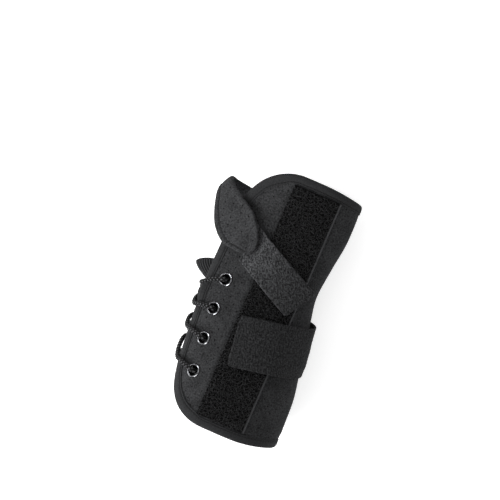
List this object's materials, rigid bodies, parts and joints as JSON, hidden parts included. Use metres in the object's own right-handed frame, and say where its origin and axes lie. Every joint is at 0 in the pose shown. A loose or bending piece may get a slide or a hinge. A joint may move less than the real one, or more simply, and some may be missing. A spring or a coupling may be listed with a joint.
{
  "type": "laced wrist support",
  "caption": "Lace-up wrist brace: a perforated laminate wrap with bound edges, laced over a tongue on the thumb side, with a forearm strap and a thumb strap that close on a strip of loop pile.",
  "frame": {"origin": "middle of the floor under the whole piece, which lies on its palmar side", "axes": "+X to the ulnar side, +Y distal along the pile strip, +Z dorsal and up"},
  "size_m": [0.1154, 0.199, 0.0694],
  "materials": {
    "laminate": "charcoal suede-faced laminate with pin perforations, matte",
    "tape": "charcoal binding tape, fine weave, matte",
    "pile": "black loop pile, matte",
    "webbing": "charcoal brushed webbing, matte",
    "ribbed_cloth": "black ribbed cloth, matte",
    "braid": "black round braid, slight sheen",
    "nickel": "bright nickel plate"
  },
  "bodies": {
    "root": {"shell": "laminate", "edge_binding": "tape", "pile_strip": "pile", "forearm_strap": "webbing", "thumb_strap": "webbing", "thumb_tab": "laminate", "tongue": "ribbed_cloth", "lace": "braid", "eyelet_dorsal_1": "nickel", "eyelet_dorsal_2": "nickel", "eyelet_dorsal_3": "nickel", "eyelet_dorsal_4": "nickel", "eyelet_palmar_1": "nickel", "eyelet_palmar_2": "nickel", "eyelet_palmar_3": "nickel", "eyelet_palmar_4": "nickel"}
  },
  "joints": []
}
